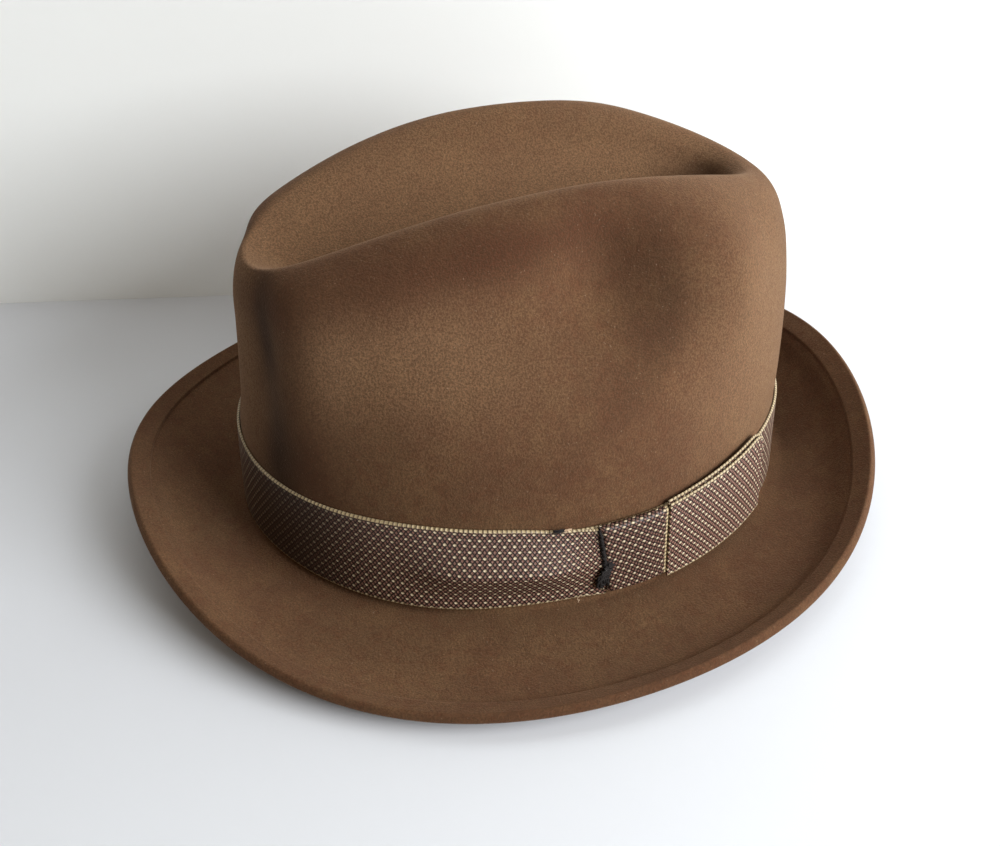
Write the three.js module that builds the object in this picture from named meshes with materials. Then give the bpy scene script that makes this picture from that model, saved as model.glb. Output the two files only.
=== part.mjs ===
// A felt fedora: a creased and pinched crown with a narrow brim curled up at the front and the back,
// a woven ribbon round the foot of the crown, and a flat bow on the wearer's left.
// Millimetres, +Z up, -Y towards the front of the hat, +X towards the wearer's left.
// The origin is on the table under the middle of the hat's outline.
import * as THREE from "three";

// Driving dimensions of the felt
const crownLength = 201.7; // outside the felt at the foot of the crown, front to back
const crownWidth = 168.3; // the same, side to side
const crownHeight = 125; // table to the top of the two ridges
const brimWidth = 45.6; // level reach that the brim's shares below are taken of
const brimLift = 26; // rise of the brim's edge at the back
const feltThickness = 2;
const breakRadius = 2; // the inside of the bend where the crown meets the brim
const weltWidth = 7; // the edge of the brim, turned over on itself
const weltThickness = 1.2; // what the turned edge adds on top

// Driving dimensions of the ribbon and the bow
const ribbonWidth = 30;
const ribbonThickness = 1;
const clearance = 0.3; // between pieces that touch
const knotStart = 1.2; // along the ribbon, from the middle of the left side towards the back
const knotWidth = 23;
const knotThickness = 2.4;
const knotHeight = 28.4; // a little less than the ribbon's width, because the knot is drawn tight
const knotRise = 1.4; // from the ribbon's lower edge to the knot's
const loopLength = 51.5; // from the knot to the fold of the loop
const loopCorner = 7; // radius of the loop's upper corner at the fold
const loopRise = 4; // how far the loop's back layer stands above the ribbon at the fold
const frontEndLength = 9; // the ribbon end that shows in front of the knot
const frontEndThickness = 0.9;

// The brim's edge: a row for each 45 degrees, from the front round the side to the back.
// reach is a share of brimWidth, lift a share of brimLift.
const brimEdge = [
  { reach: 0.85, lift: 0.76 },
  { reach: 1.01, lift: 0.25 },
  { reach: 1.03, lift: 0.29 },
  { reach: 0.87, lift: 0.48 },
  { reach: 0.71, lift: 1.0 },
];

// The brim from its edge inwards. run is the share of its reach, inset a length taken off it,
// ends and sides the share of the edge's lift there, and welt the share of weltThickness added. The
// last two rows have no lift: the felt between them is pressed flat on the table.
const brimRows = [
  { run: 1, inset: 0.7, ends: 1, sides: 1, welt: 1 },
  { run: 1, inset: weltWidth * 0.5, ends: 0.92, sides: 0.8, welt: 1 },
  { run: 1, inset: weltWidth - 0.7, ends: 0.84, sides: 0.6, welt: 1 },
  { run: 1, inset: weltWidth, ends: 0.82, sides: 0.56, welt: 0 },
  { run: 0.66, inset: 0, ends: 0.52, sides: 0.2, welt: 0 },
  { run: 0.46, inset: 0, ends: 0.28, sides: 0.07, welt: 0 },
  { run: 0.3, inset: 0, ends: 0.12, sides: 0.02, welt: 0 },
  { run: 0.16, inset: 0, ends: 0, sides: 0, welt: 0 },
  { run: 0, inset: -breakRadius, ends: 0, sides: 0, welt: 0 },
];

// The crown from its foot up over the ridges and down into the crease. front, back and side are
// shares of half the crown's length and width, and atFront, atSide and atBack the heights there as
// shares of crownHeight. round is 1 for an oval ring and less for one with blunter ends, and dent is
// the share that the ring takes of the dents below.
const crownRows = [
  { front: 0.984, side: 0.973, back: 0.985, atFront: 0.28, atSide: 0.28, atBack: 0.28, round: 1, dent: 0 },
  { front: 0.975, side: 0.951, back: 0.988, atFront: 0.4, atSide: 0.42, atBack: 0.41, round: 1, dent: 1 },
  { front: 0.966, side: 0.918, back: 0.986, atFront: 0.52, atSide: 0.56, atBack: 0.54, round: 1, dent: 1 },
  { front: 0.957, side: 0.865, back: 0.975, atFront: 0.63, atSide: 0.7, atBack: 0.66, round: 0.97, dent: 1 },
  { front: 0.947, side: 0.79, back: 0.953, atFront: 0.72, atSide: 0.82, atBack: 0.76, round: 0.93, dent: 1 },
  { front: 0.93, side: 0.69, back: 0.922, atFront: 0.77, atSide: 0.905, atBack: 0.825, round: 0.87, dent: 1 },
  { front: 0.91, side: 0.57, back: 0.88, atFront: 0.796, atSide: 0.967, atBack: 0.86, round: 0.8, dent: 0.8 },
  { front: 0.885, side: 0.44, back: 0.83, atFront: 0.803, atSide: 1, atBack: 0.868, round: 0.75, dent: 0.2 },
  { front: 0.86, side: 0.37, back: 0.79, atFront: 0.795, atSide: 0.978, atBack: 0.855, round: 0.75, dent: 0 },
  { front: 0.81, side: 0.28, back: 0.75, atFront: 0.775, atSide: 0.905, atBack: 0.815, round: 0.8, dent: 0 },
  { front: 0.76, side: 0.17, back: 0.7, atFront: 0.757, atSide: 0.83, atBack: 0.78, round: 0.85, dent: 0 },
  { front: 0.7, side: 0.05, back: 0.64, atFront: 0.745, atSide: 0.79, atBack: 0.765, round: 0.9, dent: 0 },
];
const ridgeRow = crownRows[7];
const endSharpness = 2.1; // how far round the ends the ridges stay high: a power of the cosine
const backBluntness = 0.4; // how blunt the back end of a ring is, as a share of its front end

// Dents (and, with a negative depth, swellings) on both sides of the crown. angle is counted from the
// front in degrees, height is a share of the ridge's height there, depth a share of half the crown's
// width, and spread and rise say how far the dent goes round the hat and up.
const dents = [
  { angle: 14, height: 0.72, spread: 8.5, rise: 0.25, depth: 0.05 },
  { angle: 31, height: 0.72, spread: 7, rise: 0.25, depth: -0.02 },
  { angle: 98, height: 0.83, spread: 9, rise: 0.11, depth: 0.13 },
  { angle: 85, height: 0.79, spread: 14, rise: 0.1, depth: 0.06 },
  { angle: 64, height: 0.77, spread: 21, rise: 0.1, depth: 0.09 },
  { angle: 121, height: 0.86, spread: 8, rise: 0.14, depth: -0.05 },
];

const columns = 64; // round the hat
const halfLength = crownLength / 2;
const halfWidth = crownWidth / 2;
const footHeight = feltThickness + breakRadius;

// The function of the angle from the front that goes smoothly through values at 0, 45, 90, 135 and
// 180 degrees and is the same on both sides: a sum of cosines.
function around(values) {
  const n = values.length - 1;
  const half = (k) => (k === 0 || k === n ? 0.5 : 1);
  const share = values.map((_, k) => {
    const sum = values.reduce((s, v, j) => s + half(j) * v * Math.cos((Math.PI * j * k) / n), 0);
    return (sum * 2 * half(k)) / n;
  });
  return (angle) => share.reduce((s, c, k) => s + c * Math.cos(k * angle), 0);
}

const brimReach = around(brimEdge.map((row) => row.reach * brimWidth));
const edgeLift = around(brimEdge.map((row) => row.lift * brimLift));
const crownCentreY = (brimReach(0) - brimReach(Math.PI)) / 2;

// A value that goes from front to side to back of the hat, smoothly.
function blend(front, side, back, angle) {
  const c = Math.cos(angle);
  return side + ((front + back) / 2 - side) * Math.abs(c) ** endSharpness + ((front - back) / 2) * c;
}

// A point of an oval round the crown's axis, from shares of the crown's half length and half width.
function oval({ front, side, back, round }, angle) {
  const end = (front + back) / 2 + ((front - back) / 2) * Math.cos(angle);
  const s = Math.sin(angle);
  const bluntness = (1 + backBluntness) / 2 + ((1 - backBluntness) / 2) * Math.cos(angle);
  const across = Math.sign(s) * Math.abs(s) ** (1 - (1 - round) * bluntness);
  return new THREE.Vector2(side * halfWidth * across, -end * halfLength * Math.cos(angle));
}
const foot = { front: 1, side: 1, back: 1, round: 1 };

// The level direction straight out from the foot of the crown.
function outward(angle) {
  return new THREE.Vector2(halfLength * Math.sin(angle), -halfWidth * Math.cos(angle)).normalize();
}

// How far in the dents take a point of the crown at a share of the ridge's height.
function dentDepth(angle, share) {
  const degrees = Math.abs(THREE.MathUtils.radToDeg(Math.atan2(Math.sin(angle), Math.cos(angle))));
  return dents.reduce((sum, dent) => {
    const a = (degrees - dent.angle) / dent.spread;
    const h = (share - dent.height) / dent.rise;
    return sum + dent.depth * halfWidth * Math.exp((-a * a - h * h) / 2);
  }, 0);
}

function brimPoint(row, angle) {
  const c2 = Math.cos(angle) ** 2;
  const rise = edgeLift(angle) * (row.ends * c2 + row.sides * (1 - c2));
  const out = brimReach(angle) * row.run - row.inset;
  const p = oval(foot, angle).addScaledVector(outward(angle), out);
  return new THREE.Vector3(p.x, p.y + crownCentreY, feltThickness + rise);
}

function footPoint(angle, turn) {
  const p = oval(foot, angle).addScaledVector(outward(angle), breakRadius * (1 - Math.sin(turn)));
  return new THREE.Vector3(p.x, p.y + crownCentreY, feltThickness + breakRadius * (1 - Math.cos(turn)));
}

function crownPoint(row, angle) {
  const height = blend(row.atFront, row.atSide, row.atBack, angle);
  const ridge = blend(ridgeRow.atFront, ridgeRow.atSide, ridgeRow.atBack, angle);
  const inward = row.dent * dentDepth(angle, height / ridge);
  const p = oval(row, angle).addScaledVector(outward(angle), -inward);
  return new THREE.Vector3(p.x, p.y + crownCentreY, height * crownHeight);
}

function columnAngle(i) {
  return (i / columns) * 2 * Math.PI;
}

// Rings of points on the felt's upper side, from the brim's edge to the bottom of the crease.
function feltRings() {
  const ring = (point) => Array.from({ length: columns }, (_, i) => point(columnAngle(i)));
  return [
    ...brimRows.map((row) => ({
      welt: row.welt,
      flat: row.ends === 0 && row.sides === 0,
      points: ring((a) => brimPoint(row, a)),
    })),
    { welt: 0, points: ring((a) => footPoint(a, Math.PI / 4)) },
    { welt: 0, points: ring((a) => footPoint(a, Math.PI / 2)) },
    ...crownRows.map((row) => ({ welt: 0, points: ring((a) => crownPoint(row, a)) })),
  ];
}

// The direction straight off the felt at each point of the rings.
function feltNormals(rings) {
  return rings.map(({ points }, r) =>
    points.map((_, i) => {
      const inner = rings[Math.min(r + 1, rings.length - 1)].points[i];
      const outer = rings[Math.max(r - 1, 0)].points[i];
      const next = points[(i + 1) % columns];
      const last = points[(i + columns - 1) % columns];
      const across = inner.clone().sub(outer);
      return next.clone().sub(last).cross(across).normalize();
    }),
  );
}

// A closed mesh from rings of equal length: a wall between each ring and the next.
class RingMesh {
  constructor() {
    this.vertices = [];
    this.faces = [];
  }
  addRing(points) {
    const first = this.vertices.length;
    this.vertices.push(...points);
    return points.map((_, i) => first + i);
  }
  join(lower, upper) {
    lower.forEach((a, i) => {
      const b = lower[(i + 1) % lower.length];
      const c = upper[(i + 1) % upper.length];
      this.faces.push([a, b, c], [a, c, upper[i]]);
    });
  }
  // Closes a ring that is the same on both sides of the hat with strips from side to side.
  strips(ring, flip) {
    const n = ring.length;
    const add = (a, b, c) => this.faces.push(flip ? [a, c, b] : [a, b, c]);
    add(ring[0], ring[1], ring[n - 1]);
    for (let i = 1; i < n / 2 - 1; i++) {
      add(ring[i], ring[i + 1], ring[n - i - 1]);
      add(ring[i], ring[n - i - 1], ring[n - i]);
    }
    add(ring[n / 2 - 1], ring[n / 2], ring[n / 2 + 1]);
  }
  geometry() {
    const geometry = new THREE.BufferGeometry();
    geometry.setFromPoints(this.vertices);
    geometry.setIndex(this.faces.flat());
    geometry.computeVertexNormals();
    return geometry;
  }
}

function feltGeometry() {
  const rings = feltRings();
  const normals = feltNormals(rings);
  const mesh = new RingMesh();
  const off = (r, distance) =>
    rings[r].points.map((p, i) => p.clone().addScaledVector(normals[r][i], distance));
  const upper = rings.map((ring, r) => mesh.addRing(off(r, ring.welt * weltThickness)));
  const lower = [];
  rings.forEach((ring, r) => {
    if (r === 1 || r === 3) return; // the underside needs no rings for the welt's step
    const points = off(r, -feltThickness);
    points.forEach((p) => (p.z = ring.flat ? 0 : Math.max(p.z, 0)));
    lower.push(mesh.addRing(points));
  });
  const nose = mesh.addRing(
    rings[0].points.map((p, i) => {
      const out = outward(columnAngle(i));
      const middle = p.clone().addScaledVector(normals[0][i], (weltThickness - feltThickness) / 2);
      return middle.add(new THREE.Vector3(out.x, out.y, 0).multiplyScalar(brimRows[0].inset));
    }),
  );
  mesh.join(lower[0], nose);
  mesh.join(nose, upper[0]);
  upper.slice(1).forEach((ring, r) => mesh.join(upper[r], ring));
  lower.slice(1).forEach((ring, r) => mesh.join(ring, lower[r]));
  mesh.strips(upper.at(-1), false);
  mesh.strips(lower.at(-1), true);
  return mesh.geometry();
}

// A point beside the crown's wall at the ribbon: rise 0 to 1 goes up the ribbon, off is the distance
// out from the felt.
function ribbonPoint(angle, rise, off) {
  const wallFoot = footPoint(angle, Math.PI / 2);
  const top = crownPoint(crownRows[0], angle);
  const low = footHeight + clearance;
  const share = (low + rise * ribbonWidth - wallFoot.z) / (top.z - wallFoot.z);
  const out = outward(angle);
  return wallFoot.lerp(top, share).add(new THREE.Vector3(out.x, out.y, 0).multiplyScalar(off));
}

function bandGeometry() {
  const mesh = new RingMesh();
  const ring = (rise, off) =>
    mesh.addRing(Array.from({ length: columns }, (_, i) => ribbonPoint(columnAngle(i), rise, off)));
  const inside = clearance;
  const outside = clearance + ribbonThickness;
  const section = [ring(0, inside), ring(0, outside), ring(1, outside), ring(1, inside)];
  section.forEach((lower, k) => mesh.join(lower, section[(k + 1) % section.length]));
  return mesh.geometry();
}

// The angle reached by going a length along the ribbon from the middle of the hat's left side.
function angleAt(length) {
  const steps = 40;
  let angle = Math.PI / 2;
  for (let k = 0; k < steps; k++) {
    const speed = Math.hypot(halfWidth * Math.cos(angle), halfLength * Math.sin(angle));
    angle += length / steps / speed;
  }
  return angle;
}

// A flat piece of ribbon on the band. from and to are lengths along it, top gives its upper edge as
// a share of the ribbon's width, swell thins it towards its two edges.
function patchGeometry({ from, to, thickness, bottom, top, swell, steps }) {
  const mesh = new RingMesh();
  const inside = clearance + ribbonThickness + clearance;
  const across = [0, 0.12, 0.5, 0.88, 1];
  const sections = [];
  for (let k = 0; k <= steps; k++) {
    const length = from + ((to - from) * k) / steps;
    const angle = angleAt(length);
    const at = (v) => bottom + (top(length) - bottom) * v;
    const full = (v) => inside + thickness * (1 - swell * Math.abs(2 * v - 1) ** 6);
    const front = across.map((v) => ribbonPoint(angle, at(v), full(v)));
    const behind = [...across].reverse().map((v) => ribbonPoint(angle, at(v), inside));
    sections.push(mesh.addRing([...front, ...behind]));
  }
  sections.slice(1).forEach((section, k) => mesh.join(section, sections[k]));
  const n = across.length;
  const cap = (ring, flip) => {
    for (let i = 0; i < n - 1; i++) {
      const [a, b, c, d] = [ring[i], ring[i + 1], ring[2 * n - 2 - i], ring[2 * n - 1 - i]];
      mesh.faces.push(flip ? [a, c, b] : [a, b, c], flip ? [a, d, c] : [a, c, d]);
    }
  };
  cap(sections[0], false);
  cap(sections.at(-1), true);
  return mesh.geometry();
}

function loopTop(length) {
  const along = length - knotStart - knotWidth;
  const past = Math.max(0, along - (loopLength - loopCorner));
  const drop = loopCorner - Math.sqrt(Math.max(0, loopCorner ** 2 - past ** 2));
  return 1 + ((loopRise * along) / loopLength - drop) / ribbonWidth;
}

function piece(name, geometry, color, roughness) {
  const material = new THREE.MeshStandardMaterial({ color, roughness, metalness: 0 });
  const mesh = new THREE.Mesh(geometry, material);
  mesh.name = name;
  return mesh;
}

const feltBrown = 0x7d5f47;
const ribbonBrown = 0x6b5348;
const hat = new THREE.Group();
hat.name = "fedora";
hat.add(piece("felt_body", feltGeometry(), feltBrown, 0.95));
hat.add(piece("hat_band", bandGeometry(), ribbonBrown, 0.8));
hat.add(
  piece(
    "bow_knot",
    patchGeometry({
      from: knotStart,
      to: knotStart + knotWidth,
      thickness: knotThickness,
      bottom: knotRise / ribbonWidth,
      top: () => (knotRise + knotHeight) / ribbonWidth,
      swell: 0.6,
      steps: 4,
    }),
    ribbonBrown,
    0.8,
  ),
);
hat.add(
  piece(
    "bow_loop",
    patchGeometry({
      from: knotStart + knotWidth + clearance,
      to: knotStart + knotWidth + loopLength,
      thickness: 2 * ribbonThickness,
      bottom: 0,
      top: loopTop,
      swell: 0.2,
      steps: 12,
    }),
    ribbonBrown,
    0.8,
  ),
);
hat.add(
  piece(
    "bow_front_end",
    patchGeometry({
      from: knotStart - frontEndLength,
      to: knotStart - clearance,
      thickness: frontEndThickness,
      bottom: 0,
      top: () => 1,
      swell: 0.2,
      steps: 3,
    }),
    ribbonBrown,
    0.8,
  ),
);

export default hat;
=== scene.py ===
"""A felt fedora on a white table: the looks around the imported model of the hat.

The felt, the ribbon round the crown and the flat bow are numpy grids made from the same named sizes
and tables as the hat's solids, in millimetres, in the frame +Z up, -Y to the front of the hat and +X
to the wearer's left. Angles round the hat are counted from its front.
"""
import math

import bpy
import numpy as np
from bpy.props import FloatProperty, FloatVectorProperty, IntProperty, PointerProperty
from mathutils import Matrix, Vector


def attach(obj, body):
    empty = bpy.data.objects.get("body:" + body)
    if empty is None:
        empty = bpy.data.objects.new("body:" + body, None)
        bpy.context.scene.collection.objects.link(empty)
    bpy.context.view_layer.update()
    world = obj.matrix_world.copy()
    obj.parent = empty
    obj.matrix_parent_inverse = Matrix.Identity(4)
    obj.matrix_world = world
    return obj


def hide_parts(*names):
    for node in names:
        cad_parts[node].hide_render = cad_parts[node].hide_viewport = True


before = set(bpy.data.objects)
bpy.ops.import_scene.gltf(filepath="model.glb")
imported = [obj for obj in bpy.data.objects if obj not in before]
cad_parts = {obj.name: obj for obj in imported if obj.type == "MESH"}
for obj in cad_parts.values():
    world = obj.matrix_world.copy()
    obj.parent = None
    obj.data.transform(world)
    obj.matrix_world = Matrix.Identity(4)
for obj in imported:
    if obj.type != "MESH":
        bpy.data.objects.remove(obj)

bl_info = {
    "name": "Felt Fedora",
    "version": (1, 0, 0),
    "blender": (4, 5, 0),
    "location": "View3D > Sidebar > Fedora",
    "description": "Builds a creased felt hat with a woven ribbon, and a small studio for it",
    "category": "Add Mesh",
}

MM = 0.001
FINE = 4001  # points of the polygon by which the foot's oval is measured

# The brim's edge at 0, 45, 90, 135 and 180 degrees: shares of the brim's width and of its lift.
BRIM_REACH = (0.85, 1.01, 1.03, 0.87, 0.71)
BRIM_LIFT = (0.76, 0.25, 0.29, 0.48, 1.0)

# The brim from its edge inwards: share of the reach, length taken off it (as a share of the turned
# edge's width), and share of the edge's lift at the two ends and at the sides of the hat.
BRIM_ROWS = (
    (1.0, 0.1, 1.0, 1.0),
    (1.0, 0.5, 0.92, 0.8),
    (1.0, 0.9, 0.84, 0.6),
    (1.0, 1.0, 0.82, 0.56),
    (0.66, 0.0, 0.52, 0.2),
    (0.46, 0.0, 0.28, 0.07),
    (0.3, 0.0, 0.12, 0.02),
    (0.16, 0.0, 0.0, 0.0),
    (0.08, 0.0, 0.0, 0.0),
)

# The crown from its foot over the ridges and down into the crease: shares of half its length at the
# front, half its width, half its length at the back, the heights there, how round the ring is, and the
# share it takes of the dents.
CROWN_ROWS = (
    (0.984, 0.973, 0.985, 0.28, 0.28, 0.28, 1.0, 0.0),
    (0.975, 0.951, 0.988, 0.4, 0.42, 0.41, 1.0, 1.0),
    (0.966, 0.918, 0.986, 0.52, 0.56, 0.54, 1.0, 1.0),
    (0.957, 0.865, 0.975, 0.63, 0.7, 0.66, 0.97, 1.0),
    (0.947, 0.79, 0.953, 0.72, 0.82, 0.76, 0.93, 1.0),
    (0.93, 0.69, 0.922, 0.77, 0.905, 0.825, 0.87, 1.0),
    (0.91, 0.57, 0.88, 0.796, 0.967, 0.86, 0.8, 0.8),
    (0.885, 0.44, 0.83, 0.803, 1.0, 0.868, 0.75, 0.2),
    (0.86, 0.37, 0.79, 0.795, 0.978, 0.855, 0.75, 0.0),
    (0.81, 0.28, 0.75, 0.775, 0.905, 0.815, 0.8, 0.0),
    (0.76, 0.17, 0.7, 0.757, 0.83, 0.78, 0.85, 0.0),
    (0.7, 0.05, 0.64, 0.745, 0.79, 0.765, 0.9, 0.0),
)
RIDGE_ROW = 7
END_SHARPNESS = 2.1  # how far round the ends the ridges stay high: a power of the cosine
BACK_BLUNTNESS = 0.4  # how blunt a ring's back end is, as a share of its front end
EXTRA_STEPS = 2  # rings from row to row that the crown has more than the brim

# Dents on both sides of the crown: angle, height as a share of the ridge's, spread in degrees, rise
# and depth as a share of half the crown's width. A negative depth is a swelling.
DENTS = (
    (14, 0.72, 8.5, 0.25, 0.05),
    (31, 0.72, 7, 0.25, -0.02),
    (98, 0.83, 9, 0.11, 0.13),
    (85, 0.79, 14, 0.1, 0.06),
    (64, 0.77, 21, 0.1, 0.09),
    (121, 0.86, 8, 0.14, -0.05),
)

# Patches of painted shade and painted highlight on the crown's wall: kind, share, then angle and
# spread in degrees, height and rise in millimetres.
PAINTED_PATCHES = (
    ("reddish_shade", 0.9, 33, 8, 48, 26),
    ("painted_highlight", 0.7, 138, 22, 75, 60),
    ("painted_highlight", 1.0, 61, 21, 85, 18),
    ("painted_highlight", 0.8, 39, 8, 80, 18),
    ("painted_highlight", 0.3, 118, 12, 62, 26),
    ("painted_highlight", 1.0, 0, 11, 70, 50),
    ("painted_shade", 1.0, 17, 6, 84, 20),
    ("painted_shade", 1.0, 23, 7, 44, 26),
)

# How the soft ribbon lies beside the bow: angle and spread in degrees, and depth in millimetres.
UPPER_EDGE_DIP = (94, 15, 2.8)
LENGTHWISE_FOLD = (72, 15, 4.3)
FOOT_FLARE = (55, 18, 1.6)
FOLD_PLACE = 0.47  # across the ribbon, as a share of its width
FOLD_SPREAD = (0.45, 0.3)  # of the fold above and below that place, as shares of the width
SOFT_EDGE = 0.02  # rounded part of the ribbon's width at each edge
BOW_EDGE = 0.03  # the same on the bow's loop and knot

# Noise in the felt: cells per metre, octaves, roughness, and the values that give none and all of it.
# The dye's clouds are 62 mm wide and its patches 18 mm, the fur's mottles 4 mm, and the painted reddish
# shade and the painted shade are uneven by 26 and 33 mm. The nap is drawn with specks of 0.7 mm, as
# hairs of 0.02 mm are too fine to show.
FELT_NOISE = {
    "cloud": (16, 4, 0.5, 0.35, 0.68),
    "patch": (55, 5, 0.6, 0.4, 0.7),
    "mottle": (240, 5, 0.75, 0.42, 0.66),
    "reddish_shade": (38, 4, 0.5, -0.2, 0.55),
    "painted_shade": (30, 3, 0.5, -0.2, 0.5),
    "speck": (1500, 2, 0.8, 0.35, 0.65),
    "lint": (1300, 1, 0.5, 0.7, 0.8),
}

# The camera fitted to the photograph: place in millimetres, the way it looks, lens and sensor width.
CAMERA_PLACE = (319.545, -111.47, 261.285)
CAMERA_WAY = (-0.76494, 0.26339, -0.58779)
CAMERA_LENS = 39.6
SENSOR_WIDTH = 36.0

# The studio, in metres: how far the table and the wall reach, the wall's direction and its distance
# from the middle of the hat.
STAGE_REACH = 3.0
WALL_WAY = (0.256, 0.967, 0.0)
WALL_DISTANCE = 0.135


def srgb(code):
    """The linear colour with alpha of a hex code such as '#73583f'."""
    values = [int(code[i : i + 2], 16) / 255 for i in (1, 3, 5)]
    return (*(v / 12.92 if v <= 0.04045 else ((v + 0.055) / 1.055) ** 2.4 for v in values), 1.0)


class FedoraFelt(bpy.types.PropertyGroup):
    """Sizes of the felt body, in millimetres"""

    crown_length: FloatProperty(name="Crown length", description="Outside at the foot", default=201.7)
    crown_width: FloatProperty(name="Crown width", description="Outside at the foot", default=168.3)
    crown_height: FloatProperty(name="Crown height", description="To the ridges", default=125.0)
    brim_width: FloatProperty(name="Brim width", description="Level reach at the sides", default=45.6)
    brim_lift: FloatProperty(name="Brim lift", description="Of the edge at the back", default=26.0)
    thickness: FloatProperty(name="Thickness", description="Of the felt", default=2.0)
    break_radius: FloatProperty(name="Break radius", description="Bend from brim to crown", default=2.0)
    welt_width: FloatProperty(name="Welt width", description="Turned edge of the brim", default=7.0)
    welt_thickness: FloatProperty(name="Welt thickness", description="Added on top", default=1.2)
    columns: IntProperty(name="Columns", description="Points round the hat", default=256)
    steps: IntProperty(name="Steps", description="Rings from one row of the tables to the next", default=6)


class FedoraRibbon(bpy.types.PropertyGroup):
    """Sizes of the ribbon and its bow, in millimetres"""

    width: FloatProperty(name="Width", description="Of the ribbon", default=30.0)
    thickness: FloatProperty(name="Thickness", description="Of the ribbon", default=1.0)
    clearance: FloatProperty(name="Clearance", description="Between pieces that touch", default=0.3)
    knot_start: FloatProperty(name="Knot start", description="From the middle of the side", default=1.2)
    knot_width: FloatProperty(name="Knot width", description="Along the ribbon", default=23.0)
    knot_thickness: FloatProperty(name="Knot thickness", description="Off the band", default=2.4)
    knot_height: FloatProperty(name="Knot height", description="Across the ribbon", default=28.4)
    knot_rise: FloatProperty(name="Knot rise", description="Above the ribbon's edge", default=1.4)
    loop_length: FloatProperty(name="Loop length", description="From the knot to the fold", default=51.5)
    loop_corner: FloatProperty(name="Loop corner", description="Radius at the fold", default=7.0)
    loop_rise: FloatProperty(name="Loop rise", description="Of the fold above the band", default=4.0)
    end_length: FloatProperty(name="End length", description="In front of the knot", default=9.0)
    end_thickness: FloatProperty(name="End thickness", description="In front of the knot", default=0.9)


class FedoraWeave(bpy.types.PropertyGroup):
    """Sizes of the ribbon's weave, in millimetres, matched to the photograph"""

    dot_pitch: FloatProperty(name="Dot pitch", description="Along the ribbon", default=3.1)
    row_pitch: FloatProperty(name="Row pitch", description="Across the ribbon", default=1.85)
    bead_pitch: FloatProperty(name="Bead pitch", description="Of the pale edge", default=1.5)
    selvage: FloatProperty(name="Selvage", description="Width of the pale edge", default=0.62)


def colour_property(name, description, code):
    """A colour that the user can pick, with its default as a hex code."""
    kind = {"size": 4, "subtype": "COLOR", "min": 0.0, "max": 1.0}
    return FloatVectorProperty(name=name, description=description, default=srgb(code), **kind)


class FedoraColours(bpy.types.PropertyGroup):
    """Main colours of the felt and of the ribbon"""

    felt: colour_property("Felt", "Reddish brown of the fur felt", "#5f412d")
    felt_olive: colour_property("Felt, olive", "The felt's more olive places", "#664b34")
    # Colour of the painted highlight on the crown's lit places, in the crease and on the nose.
    felt_painted_highlight: colour_property("Felt, brushed", "Where the nap is brushed up and pale", "#8a6b4f")
    ground: colour_property("Ground", "Of the ribbon's weave", "#1a0f0d")
    stitch: colour_property("Stitches", "Slanting stitches of the ribbon's weave", "#987061")
    dot: colour_property("Dots", "Pale dots of the ribbon's weave", "#d9c7a6")
    selvage: colour_property("Selvage", "Beads along the ribbon's pale edges", "#b5a17c")


def around(values, angle):
    """Sum of cosines through the values at 0, 45, 90, 135 and 180 degrees from the front:
    f(a) = sum_k c_k cos(k a), c_k = (2 h_k / n) sum_j h_j v_j cos(pi j k / n), where h is 1/2 for the
    first and last term and 1 for the others."""
    values = np.asarray(values, float)
    n = len(values) - 1
    k = np.arange(n + 1)
    half = np.where((k == 0) | (k == n), 0.5, 1.0)
    share = 2 / n * half * ((half * values) @ np.cos(np.pi * np.outer(k, k) / n))
    return np.cos(np.multiply.outer(angle, k)) @ share


def refine(rows, at, steps):
    """Cubic Hermite curve through rows at the places at, with steps places from each row to the next:
    p(u) = (2u^3-3u^2+1) p0 + (u^3-2u^2+u) h m0 + (3u^2-2u^3) p1 + (u^3-u^2) h m1, where the slopes m are
    finite differences. Returns the dense rows and their places."""
    rows, at = np.asarray(rows, float), np.asarray(at, float)
    slope = np.gradient(rows, at, axis=0)
    dense = np.append((at[:-1, None] + np.diff(at)[:, None] * np.arange(steps) / steps).ravel(), at[-1])
    i = np.clip(np.searchsorted(at, dense, "right") - 1, 0, len(at) - 2)
    shape = (-1,) + (1,) * (rows.ndim - 1)
    h = (at[i + 1] - at[i]).reshape(shape)
    u = ((dense - at[i]) / (at[i + 1] - at[i])).reshape(shape)
    made = (2 * u**3 - 3 * u**2 + 1) * rows[i] + (u**3 - 2 * u**2 + u) * h * slope[i]
    return made + (3 * u**2 - 2 * u**3) * rows[i + 1] + (u**3 - u**2) * h * slope[i + 1], dense


def outward(size, angle):
    """Level direction (x, y) straight out from the crown's foot: (L sin a, -W cos a), made unit."""
    way = np.stack([size.crown_length * np.sin(angle), -size.crown_width * np.cos(angle)], -1)
    return way / np.linalg.norm(way, axis=-1, keepdims=True)


def oval(size, front, side, back, ring, angle):
    """Oval of the crown: x = side W/2 s |s|^(p-1), y = -end L/2 cos a, where s = sin a, end goes from
    front to back with cos a, and p = 1 - (1 - ring) bluntness(a) makes the ends blunt."""
    c, s = np.cos(angle), np.sin(angle)
    end = (front + back) / 2 + (front - back) / 2 * c
    blunt = (1 + BACK_BLUNTNESS) / 2 + (1 - BACK_BLUNTNESS) / 2 * c
    across = np.sign(s) * np.abs(s) ** (1 - (1 - ring) * blunt)
    return np.stack([side * size.crown_width / 2 * across, -end * size.crown_length / 2 * c], -1)


def foot_oval(size, angle, out=0.0):
    """The oval of the crown's foot, moved level and straight out by out."""
    return oval(size, 1.0, 1.0, 1.0, 1.0, angle) + outward(size, angle) * np.asarray(out)[..., None]


def blend(front, side, back, angle):
    """side + ((front + back) / 2 - side) |c|^q + (front - back) / 2 c, with c = cos a."""
    c = np.cos(angle)
    return side + ((front + back) / 2 - side) * np.abs(c) ** END_SHARPNESS + (front - back) / 2 * c


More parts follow.
